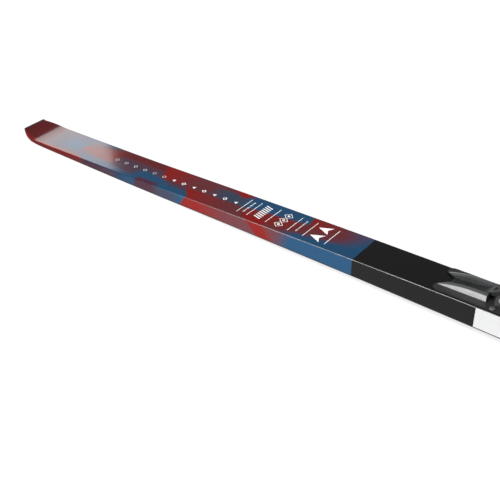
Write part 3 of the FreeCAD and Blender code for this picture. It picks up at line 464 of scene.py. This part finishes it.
def wood():
    """Light poplar: growth bands that wander along the stringer, with fine pores."""
    graph = Graph("core_wood")
    growth = graph.math("MULTIPLY", graph.noise(graph.scaled(2, 40, 40), 2.5), 70.0)
    bands = graph.math("SINE", growth)
    pores = graph.noise(graph.scaled(30, 1500, 1500), 1, detail=3)
    colour = graph.blend(graph.ramp(bands, -1, 1), rgba(POPLAR_DEEP), rgba(POPLAR_PALE))
    colour = graph.blend(graph.ramp(pores, 0.6, 0.75), colour, rgba(POPLAR_PORE))
    graph.bump(pores, 0.04 * MM)
    return graph.finish(colour, graph.ramp(pores, *NOISE_SPAN, 0.5, 0.7))


def ink():
    """Opaque white ink, finely mottled."""
    graph = Graph("white_ink")
    mottle = graph.noise(graph.place, 1500)
    colour = graph.blend(mottle, rgba(INK_THIN), rgba(INK_WHITE))
    return graph.finish(colour, graph.ramp(mottle, *NOISE_SPAN, 0.18, 0.3), specular=0.2)


# ------------------------------------------------------------------ stage

FLOOR_SPAN = 60
FLOOR_GAP = 0.2 * MM
FLOOR_GLOW = 0.72

# The tip's soft box stands square to a level heading, at these distances from the end of the tip.
SOFTBOX_HEADING = Vector((0.76, -0.65, 0))
SOFTBOX_ASIDE_HEADING = Vector((0.65, 0.76, 0))
SOFTBOX_AWAY = 1.6
SOFTBOX_ASIDE = 0.305
SOFTBOX_UP = 0.735

CAMERA_LENS = 68.33
CAMERA_EYE = (-0.25002, 0.91872, 0.75475)
CAMERA_HEADING = math.radians(37.7413)
CAMERA_PITCH = math.radians(34.7418)


def soft_floor():
    """A floor whose own glow makes it look white and keeps the shadows on it faint."""
    bpy.ops.mesh.primitive_plane_add(size=FLOOR_SPAN, location=(0, 0, CAD_BOX[0].z - FLOOR_GAP))
    floor = bpy.context.object
    floor.name = "floor"
    graph = Graph("floor")
    tone = graph.noise(graph.place, 0.4, detail=1)
    colour = graph.blend(tone, rgba(FLOOR_DEEP), rgba(FLOOR_PALE))
    graph.shader.inputs["Emission Color"].default_value = (1, 1, 1, 1)
    graph.shader.inputs["Emission Strength"].default_value = FLOOR_GLOW
    floor.data.materials.append(graph.finish(colour, 0.9, specular=0.1))


def add_light(name, kind, place, aim, energy, **settings):
    """A light at a place, turned to an aim and hidden from the camera."""
    data = bpy.data.lights.new(name, kind)
    data.energy = energy
    for key, value in settings.items():
        setattr(data, key, value)
    light = bpy.data.objects.new(name, data)
    bpy.context.scene.collection.objects.link(light)
    light.location = place
    light.rotation_euler = (Vector(aim) - Vector(place)).to_track_quat("-Z", "Y").to_euler()
    light.visible_camera = False


def sky():
    """A world that is white at the horizon and below it, and grey overhead."""
    world = bpy.data.worlds.new("studio")
    world.use_nodes = True
    bpy.context.scene.world = world
    tree = world.node_tree
    background = tree.nodes["Background"]
    ramp = tree.nodes.new("ShaderNodeValToRGB")
    height = tree.nodes.new("ShaderNodeSeparateXYZ")
    tree.links.new(tree.nodes.new("ShaderNodeTexCoord").outputs["Generated"], height.inputs[0])
    tree.links.new(height.outputs["Z"], ramp.inputs["Fac"])
    tree.links.new(ramp.outputs["Color"], background.inputs["Color"])
    stops = ramp.color_ramp.elements
    for stop, position, colour in zip(stops, (0.10, 0.34), (SKY_WHITE, SKY_GREY)):
        stop.position = position
        stop.color = rgba(colour)


def lights():
    """Two soft suns, and a soft box that gives the bright reflection on the tip."""
    add_light("overhead", "SUN", (0.1, 0.9, 2.6), (0, 0, 0), 2.75, angle=math.radians(45))
    add_light("front_fill", "SUN", (0.45, 0.75, 0.55), (0, 0, 0), 2.6, angle=math.radians(28))
    centre = (Vector((TIP, 0, SOFTBOX_UP)) + SOFTBOX_HEADING * SOFTBOX_AWAY
              + SOFTBOX_ASIDE_HEADING * SOFTBOX_ASIDE)
    add_light("tip_softbox", "AREA", centre, centre - SOFTBOX_HEADING, 10.2, shape="RECTANGLE",
              size=0.9, size_y=0.77)


def camera():
    """The photograph's view: from the skier's left, down and along the front half."""
    data = bpy.data.cameras.new("camera")
    data.sensor_width = 36
    data.lens = CAMERA_LENS
    eye = bpy.data.objects.new("camera", data)
    bpy.context.scene.collection.objects.link(eye)
    eye.location = CAMERA_EYE
    level = math.cos(CAMERA_PITCH)
    forward = Vector((math.sin(CAMERA_HEADING) * level, -math.cos(CAMERA_HEADING) * level,
                      -math.sin(CAMERA_PITCH)))
    eye.rotation_euler = forward.to_track_quat("-Z", "Y").to_euler()
    bpy.context.scene.camera = eye


# ------------------------------------------------------------------ shared by the pieces

def surface_of(node):
    """A tree that answers where a ray meets a node."""
    mesh = NODES[node].data
    return BVHTree.FromPolygons([vertex.co for vertex in mesh.vertices],
                                [face.vertices for face in mesh.polygons])


def top_of(tree, x, y):
    """The highest spot of a surface at a place in x and y."""
    above = Vector((x, y, 1))
    return tree.ray_cast(above, Vector((0, 0, -1)))[0]


def paint(node, material):
    """Give a carried-over node one material on all its slots."""
    mesh = NODES[node].data
    if not mesh.materials:
        mesh.materials.append(material)
    for index in range(len(mesh.materials)):
        mesh.materials[index] = material


def new_piece(name, mesh, material, body):
    """Turn a bmesh into an object with one material that rides a body."""
    bmesh.ops.recalc_face_normals(mesh, faces=mesh.faces)
    data = bpy.data.meshes.new(name)
    mesh.to_mesh(data)
    mesh.free()
    data.materials.append(material)
    piece = bpy.data.objects.new(name, data)
    bpy.context.scene.collection.objects.link(piece)
    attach(piece, body)


# ------------------------------------------------------------------ white print on the front cap

class Print:
    """Thin shapes laid on the front cap, drawn by distance from the tip and to the left, in mm."""

    LIFT = 0.04 * MM
    DEPTH = 0.08 * MM

    def __init__(self, name, material):
        self.mesh = bmesh.new()
        self.deck = surface_of("topsheet_front")
        self.name = name
        self.material = material

    def corner(self, point, height):
        """A vertex at a height above the cap."""
        from_tip, side = point
        spot = top_of(self.deck, TIP - from_tip * MM, side * MM)
        return self.mesh.verts.new(spot + Vector((0, 0, height)))

    def solid(self, *loops):
        """A closed plate from one outline, or a closed band between an outline and an inner one."""
        tops = [[self.corner(point, self.LIFT) for point in loop] for loop in loops]
        floors = [[self.corner(point, self.LIFT - self.DEPTH) for point in loop] for loop in loops]
        count = len(loops[0])
        steps = [(index, (index + 1) % count) for index in range(count)]
        if len(loops) == 1:
            self.mesh.faces.new(tops[0])
            self.mesh.faces.new(reversed(floors[0]))
        else:
            for a, b in steps:
                self.mesh.faces.new((tops[0][a], tops[0][b], tops[1][b], tops[1][a]))
                self.mesh.faces.new((floors[0][b], floors[0][a], floors[1][a], floors[1][b]))
        for top, floor, way in zip(tops, floors, (1, -1)):
            for a, b in steps:
                wall = (top[b], top[a], floor[a], floor[b])
                self.mesh.faces.new(wall[::way])

    def box(self, from_tip, side, along, across, shear=0.0):
        """A bar centred on a place. Shear shifts its tip end to the right and its tail end to the left."""
        a, b = along / 2, across / 2
        self.solid([(from_tip - a, side - b - shear), (from_tip + a, side - b + shear),
                    (from_tip + a, side + b + shear), (from_tip - a, side + b - shear)])

    def polygon(self, from_tip, side, radius, corners, turn=0.0, stroke=None):
        """A regular shape, filled or drawn with a stroke. With no turn, a corner points at the tail."""
        def loop(size):
            angles = [math.radians(turn) + 2 * math.pi * index / corners for index in range(corners)]
            return [(from_tip + size * math.cos(angle), side + size * math.sin(angle)) for angle in angles]
        loops = [loop(radius)]
        if stroke:
            loops.append(loop(radius - stroke / math.cos(math.pi / corners)))
        self.solid(*loops)

    def done(self):
        new_piece(self.name, self.mesh, self.material, "ski")


def print_marks(material):
    """Thirteen small marks along the centre line: fine diamonds, then bold ones and triangles."""
    art = Print("print_marks", material)
    first, pitch, side = 197.5, 20.04, 0.5
    fine, count = 6, 13
    for index in range(count):
        from_tip = first + pitch * index
        if index < fine:
            art.polygon(from_tip, side, 3.7, 4, stroke=0.5)
        elif index % 2:
            art.polygon(from_tip, side, 4.0, 4, stroke=1.2)
        else:
            art.polygon(from_tip + 0.6, side, 3.6, 3, turn=180)
    art.done()


def print_rules(material):
    """Six thin cross lines, and two rows of dashes among them. Every third dash is wide."""
    art = Print("print_rules", material)
    stroke = 0.95
    for from_tip, width in ((454.2, 38.8), (472.2, 38.8), (505.7, 39.2), (544.0, 39.6), (569.6, 39.8),
                            (605.9, 40.0)):
        art.box(from_tip, 0, stroke, width)
    pitch, reach = 2.8, 5
    for from_tip, length in ((462.7, 2.4), (555.0, 2.0)):
        for index in range(-reach, reach + 1):
            wide = (index + reach) % 3 == 0
            art.box(from_tip, pitch * index, length, 1.8 if wide else 1.0)
    art.done()


def print_block(material):
    """A bold band of slanting bars."""
    art = Print("print_block", material)
    count, pitch = 8, 4.4
    for index in range(count):
        art.box(488.2, pitch * (index - (count - 1) / 2), 12.4, 2.0, shear=1.6)
    art.done()


def print_outlines(material):
    """A fine row of three outlined diamonds, each with a solid one inside."""
    art = Print("print_outlines", material)
    from_tip, middle, pitch = 524.8, 1.0, 12.6
    for side in (middle - pitch, middle, middle + pitch):
        art.polygon(from_tip, side, 7.4, 4, stroke=0.8)
        art.polygon(from_tip, side, 2.6, 4)
    art.done()


def print_bold(material):
    """The largest marks: two solid arrowheads that point at the tip."""
    art = Print("print_bold", material)
    point, notch, back, half = 576.6, 591.6, 596.8, 9.2
    for side in (-10.9, 11.0):
        art.solid([(point, side), (back, side - half), (notch, side), (back, side + half)])
    art.done()


# ------------------------------------------------------------------ binding details

def prism(mesh, outline, direction):
    """A closed solid: a flat outline of points, pushed along a direction."""
    near = [mesh.verts.new(point) for point in outline]
    far = [mesh.verts.new(Vector(point) + Vector(direction)) for point in outline]
    mesh.faces.new(near)
    mesh.faces.new(reversed(far))
    for index in range(len(outline)):
        following = (index + 1) % len(outline)
        mesh.faces.new((near[following], near[index], far[index], far[following]))


def soften(node, width):
    """Break the hard edges of a moulded or machined node."""
    edge_break = NODES[node].modifiers.new("edge_break", "BEVEL")
    edge_break.width = width
    edge_break.segments = 2
    edge_break.limit_method = "ANGLE"
    edge_break.angle_limit = math.radians(32)
    edge_break.use_clamp_overlap = True
    edge_break.harden_normals = True


def lever_ribs(material):
    """Low round ribs across the lever's front end, for the thumb or a pole tip."""
    count, first, pitch = 6, 4.5 * MM, 3.6 * MM
    half_width, height, sunk = 0.8 * MM, 0.75 * MM, 0.2 * MM
    side_margin = 1.6 * MM
    facets = 6
    mesh = bmesh.new()
    lowest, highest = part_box("latch_lever")
    tree = surface_of("latch_lever")
    half = (highest.y - lowest.y) / 2 - side_margin
    arc = [math.pi * step / facets for step in range(facets + 1)]
    for index in range(count):
        x = highest.x - first - pitch * index
        foot = top_of(tree, x, 0).z - sunk
        outline = [(x - half_width * math.cos(angle), -half, foot + height * math.sin(angle))
                   for angle in arc]
        prism(mesh, outline, (0, 2 * half, 0))
    new_piece("lever_ribs", mesh, material, "lever")


def pin_washers(material):
    """A chamfered ring round each end of the lever pin."""
    clearance, band = 0.15 * MM, 1.5 * MM
    thickness, chamfer = 0.45 * MM, 0.3 * MM
    facets = 40
    lowest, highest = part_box("lever_pin")
    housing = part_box("toe_housing")
    x, z = (lowest.x + highest.x) / 2, (lowest.z + highest.z) / 2
    bore = (highest.z - lowest.z) / 2 + clearance
    rim = bore + band
    profile = ((bore, 0), (bore, thickness), (rim - chamfer, thickness), (rim, thickness - chamfer),
               (rim, 0))
    for hand, wall in (("left", housing[1].y), ("right", housing[0].y)):
        outward = math.copysign(1, wall)
        mesh = bmesh.new()
        loops = []
        for step in range(facets):
            angle = 2 * math.pi * step / facets
            loops.append([mesh.verts.new((x + radius * math.cos(angle), wall + outward * rise,
                                          z + radius * math.sin(angle))) for radius, rise in profile])
        for step in range(facets):
            here, there = loops[step], loops[(step + 1) % facets]
            for k in range(len(profile)):
                mesh.faces.new((here[k], here[k - 1], there[k - 1], there[k]))
        new_piece("pin_washer_" + hand, mesh, material, "toe_unit")


SCALE_SIDE = 20.6 * MM
SCALE_PITCH = 2 * MM
SCALE_TICKS = 11
INK_HEIGHT = 0.08 * MM


def tick_row(name, x_front, side, z, material):
    """A row of fine raised ticks across the ski, every fifth one longer."""
    half = 0.18 * MM
    mesh = bmesh.new()
    for index in range(SCALE_TICKS):
        x = x_front - SCALE_PITCH * index
        reach = 3.0 * MM if index % 5 == 0 else 1.8 * MM
        start = side - math.copysign(reach / 2, side)
        outline = [(x - half, start, z), (x + half, start, z), (x + half, start, z + INK_HEIGHT),
                   (x - half, start, z + INK_HEIGHT)]
        prism(mesh, outline, (0, math.copysign(reach, side), 0))
    new_piece(name, mesh, material, "ski")


def position_scales(material):
    """Ticks on the plate, and a pointer on the sliding cover, show where the toe unit stands."""
    behind_cover_front, above_cover_foot = 90 * MM, 1.2 * MM
    pointer_half, pointer_height = 1.3 * MM, 2.6 * MM
    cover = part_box("guide_cover")
    middle = cover[1].x - behind_cover_front
    foot = cover[0].z + above_cover_foot
    plate_top = top_of(surface_of("mounting_plate"), middle, SCALE_SIDE).z
    x_front = middle + SCALE_PITCH * (SCALE_TICKS - 1) / 2
    for hand, sign, wall in (("left", 1, cover[1].y), ("right", -1, cover[0].y)):
        tick_row("plate_scale_" + hand, x_front, sign * SCALE_SIDE, plate_top, material)
        mesh = bmesh.new()
        outline = [(middle, wall, foot), (middle + pointer_half, wall, foot + pointer_height),
                   (middle - pointer_half, wall, foot + pointer_height)]
        prism(mesh, outline, (0, sign * INK_HEIGHT, 0))
        new_piece("cover_pointer_" + hand, mesh, material, "toe_unit")


# ------------------------------------------------------------------ put it together

camera()
sky()
lights()
soft_floor()

BINDING_GREY = moulded("binding_grey", 0.011)
LAMINATE = laminate()
STEEL = steel("steel", 0.52, (1, 0.08, 1))
SCREW_STEEL = steel("screw_steel", 0.40, (1, 1, 1), 0.32)
GUARD = moulded("guard_black", 0.014, 0.38)
PAD_RUBBER = rubber("pad_rubber", 0.012)
TRIM = trim()
WALL = sidewall()
LEVER_BLACK = moulded("lever_black", 0.010, 0.36)
FINISHES = {
    "base_sheet": running_base("running_base", 0.30),
    "grip_insert": running_base("grip_insert", 0.42),
    "lower_laminate": LAMINATE,
    "upper_laminate": LAMINATE,
    "screw_insert": LAMINATE,
    "tip_spacer": GUARD,
    "tail_spacer": GUARD,
    "tip_guard": GUARD,
    "tail_guard": GUARD,
    "foam_core": foam(),
    "wood_stringer": wood(),
    "topsheet_front": printed_film("printed_front", FRONT_PANELS, TIP, 1),
    "topsheet_centre": black_film(),
    "topsheet_tail": printed_film("printed_tail", TAIL_PANELS, TAIL, -1),
    "sidewall_left": WALL,
    "sidewall_right": WALL,
    # The plate's upright faces get strong painted shade, for the shadow gap along its edge.
    "mounting_plate": moulded("plate_grey", 0.012, wall_shade_level=0.15),
    "heel_track": BINDING_GREY,
    "heel_plate": BINDING_GREY,
    "front_fairing": moulded("fairing_grey", 0.044, 0.44),
    "toe_housing": moulded("housing_grey", 0.020),
    "side_trim_left": TRIM,
    "side_trim_right": TRIM,
    "latch_lever": LEVER_BLACK,
    "guide_cover": moulded("cover_black", 0.012, 0.40),
    "lever_pin": STEEL,
    "lever_spring": STEEL,
    "toe_hook": STEEL,
    "fixed_jaw": STEEL,
    "flexor": rubber("flexor_rubber", 0.010),
    "heel_pad_left": PAD_RUBBER,
    "heel_pad_right": PAD_RUBBER,
    "adjuster_screw": SCREW_STEEL,
    "plate_screws": SCREW_STEEL,
    "track_screws": SCREW_STEEL,
}
# Widths of the broken edges, in mm.
EDGE_BREAKS = {
    "mounting_plate": 0.5, "front_fairing": 0.35, "toe_housing": 0.6, "latch_lever": 0.4,
    "guide_cover": 0.5, "heel_track": 0.5, "heel_plate": 0.5, "fixed_jaw": 0.25, "toe_hook": 0.25,
    "side_trim_left": 0.2, "side_trim_right": 0.2,
}

for node in NODES:
    paint(node, FINISHES[node])

white = ink()
for draw in (print_marks, print_rules, print_block, print_outlines, print_bold, position_scales):
    draw(white)
lever_ribs(LEVER_BLACK)
pin_washers(SCREW_STEEL)
for node, width in EDGE_BREAKS.items():
    soften(node, width * MM)

view = bpy.context.scene.view_settings
view.view_transform = "Standard"
view.look = "None"
